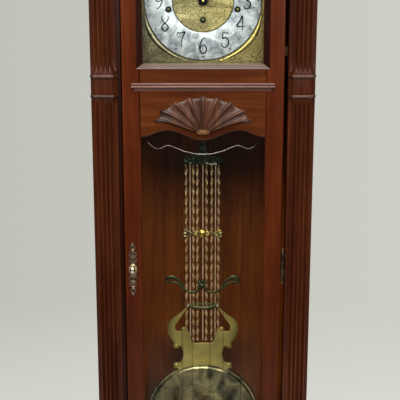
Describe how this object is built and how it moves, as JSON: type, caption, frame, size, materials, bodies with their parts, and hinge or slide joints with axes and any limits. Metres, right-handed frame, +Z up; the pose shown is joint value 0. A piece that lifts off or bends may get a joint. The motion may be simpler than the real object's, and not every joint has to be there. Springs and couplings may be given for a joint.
{
  "type": "grandfather clock",
  "caption": "Tall glazed longcase clock with a full-height hinged door, brass break-arch dial, cable-hung weights, nine-rod lyre pendulum, fluted pilasters and swan-neck pediment",
  "frame": {"origin": "on the floor, under the middle of the whole clock", "axes": "+Z up, front towards -Y, the door's hinges on +X"},
  "size_m": [0.62, 0.33, 2.2],
  "materials": {
    "cherry": "satin lacquered cherry, reddish brown",
    "dark_cherry": "satin lacquered cherry, darker stain",
    "birch": "stained plywood",
    "glass": "clear bevelled glass",
    "brass": "polished lacquered brass",
    "dial_brass": "etched matt brass",
    "silver": "circularly brushed, silvered",
    "black_steel": "blued and lacquered black",
    "steel": "polished steel",
    "cable": "stranded wire",
    "pendulum_brass": "polished cast brass",
    "bob_brass": "spun polished brass"
  },
  "bodies": {
    "case": {"back_panel": "birch", "side_panel_left": "cherry", "side_panel_right": "cherry", "face_frame_left": "dark_cherry", "face_frame_right": "dark_cherry", "pilaster_left": "dark_cherry", "pilaster_right": "dark_cherry", "trunk_floor": "cherry", "base_front_panel": "cherry", "base_side_left": "cherry", "base_side_right": "cherry", "plinth": "cherry", "cornice": "cherry", "pediment_left": "cherry", "pediment_right": "cherry", "finial": "cherry", "hinge_case_leaf_top": "brass", "hinge_case_leaf_middle": "brass", "hinge_case_leaf_bottom": "brass", "dial_plate": "dial_brass", "chapter_ring": "silver", "seat_board": "birch", "movement_frame": "brass", "chime_rods": "steel", "cable_left": "cable", "cable_centre": "cable", "cable_right": "cable"},
    "door": {"door_stile_left": "cherry", "door_stile_right": "cherry", "door_top_rail": "cherry", "door_mid_rail": "cherry", "door_bottom_rail": "cherry", "dial_glass": "glass", "trunk_glass": "glass", "dial_sill": "cherry", "door_mid_moulding": "cherry", "shell_carving": "cherry", "escutcheon": "brass", "hinge_door_leaf_top": "brass", "hinge_door_leaf_middle": "brass", "hinge_door_leaf_bottom": "brass"},
    "knob": {"door_knob": "brass"},
    "hour": {"hour_hand": "black_steel"},
    "minute": {"minute_hand": "black_steel"},
    "escape": {"escape_wheel": "brass"},
    "anchor": {"pallet_anchor": "steel"},
    "pendulum": {"pendulum_grid": "pendulum_brass", "pendulum_lyre": "pendulum_brass", "pendulum_bob": "bob_brass"},
    "nut": {"rating_nut": "brass"},
    "hammers": {"strike_hammers": "steel"},
    "weight_left_body": {"weight_left": "brass"},
    "pulley_left_body": {"pulley_left": "brass"},
    "drum_left": {"winding_drum_left": "brass"},
    "weight_centre_body": {"weight_centre": "brass"},
    "pulley_centre_body": {"pulley_centre": "brass"},
    "drum_centre": {"winding_drum_centre": "brass"},
    "weight_right_body": {"weight_right": "brass"},
    "pulley_right_body": {"pulley_right": "brass"},
    "drum_right": {"winding_drum_right": "brass"}
  },
  "joints": [
    {"name": "door_swing", "type": "hinge", "parent": "case", "child": "door", "pos_m": [0.1843, -0.1225, 1.1], "axis": [0, 0, 1], "range_deg": [0, 110]},
    {"name": "knob_turn", "type": "hinge", "parent": "door", "child": "knob", "pos_m": [-0.162, -0.122, 1.096], "axis": [0, 1, 0], "range_deg": [0, 90]},
    {"name": "minute_hand_turn", "type": "hinge", "parent": "case", "child": "minute", "pos_m": [0, -0.082, 1.7], "axis": [0, 1, 0], "continuous": true},
    {"name": "hour_hand_turn", "type": "hinge", "parent": "case", "child": "hour", "pos_m": [0, -0.078, 1.7], "axis": [0, 1, 0], "continuous": true},
    {"name": "escape_wheel_turn", "type": "hinge", "parent": "case", "child": "escape", "pos_m": [0, -0.031, 1.735], "axis": [0, 1, 0], "continuous": true},
    {"name": "pendulum_swing", "type": "hinge", "parent": "case", "child": "pendulum", "pos_m": [0, 0.048, 1.762], "axis": [0, 1, 0], "range_deg": [-3, 3]},
    {"name": "anchor_rock", "type": "hinge", "parent": "case", "child": "anchor", "pos_m": [0, -0.031, 1.762], "axis": [0, 1, 0], "range_deg": [-3, 3]},
    {"name": "rating_nut_turn", "type": "hinge", "parent": "pendulum", "child": "nut", "pos_m": [0, 0.06, 0.485], "axis": [0, 0, 1], "continuous": true},
    {"name": "hammer_lift", "type": "hinge", "parent": "case", "child": "hammers", "pos_m": [0, 0.076, 1.7], "axis": [1, 0, 0], "range_deg": [0, 12]},
    {"name": "weight_left_rise", "type": "slide", "parent": "case", "child": "weight_left_body", "axis": [0, 0, 1], "range_m": [0, 0.87], "deforming": ["cable_left"]},
    {"name": "drum_left_turn", "type": "hinge", "parent": "case", "child": "drum_left", "pos_m": [-0.077, -0.022, 1.681], "axis": [0, 1, 0], "range_deg": [0, 5600]},
    {"name": "pulley_left_turn", "type": "hinge", "parent": "weight_left_body", "child": "pulley_left_body", "pos_m": [-0.0729, -0.022, 0.665], "axis": [0, 1, 0], "range_deg": [0, 2300]},
    {"name": "weight_centre_rise", "type": "slide", "parent": "case", "child": "weight_centre_body", "axis": [0, 0, 1], "range_m": [0, 0.87], "deforming": ["cable_centre"]},
    {"name": "drum_centre_turn", "type": "hinge", "parent": "case", "child": "drum_centre", "pos_m": [0, -0.022, 1.658], "axis": [0, -1, 0], "range_deg": [0, 5600]},
    {"name": "pulley_centre_turn", "type": "hinge", "parent": "weight_centre_body", "child": "pulley_centre_body", "pos_m": [-0.0041, -0.022, 0.665], "axis": [0, -1, 0], "range_deg": [0, 2300]},
    {"name": "weight_right_rise", "type": "slide", "parent": "case", "child": "weight_right_body", "axis": [0, 0, 1], "range_m": [0, 0.87], "deforming": ["cable_right"]},
    {"name": "drum_right_turn", "type": "hinge", "parent": "case", "child": "drum_right", "pos_m": [0.077, -0.022, 1.681], "axis": [0, -1, 0], "range_deg": [0, 5600]},
    {"name": "pulley_right_turn", "type": "hinge", "parent": "weight_right_body", "child": "pulley_right_body", "pos_m": [0.0729, -0.022, 0.665], "axis": [0, -1, 0], "range_deg": [0, 2300]}
  ],
  "couplings": [
    {"joint": "hour_hand_turn", "follows": "minute_hand_turn", "ratio": 0.083333},
    {"joint": "anchor_rock", "follows": "pendulum_swing", "ratio": 1},
    {"joint": "drum_left_turn", "follows": "weight_left_rise", "rad_per_m": 111.11},
    {"joint": "pulley_left_turn", "follows": "weight_left_rise", "rad_per_m": 45.249},
    {"joint": "drum_centre_turn", "follows": "weight_centre_rise", "rad_per_m": 111.11},
    {"joint": "pulley_centre_turn", "follows": "weight_centre_rise", "rad_per_m": 45.249},
    {"joint": "drum_right_turn", "follows": "weight_right_rise", "rad_per_m": 111.11},
    {"joint": "pulley_right_turn", "follows": "weight_right_rise", "rad_per_m": 45.249}
  ]
}
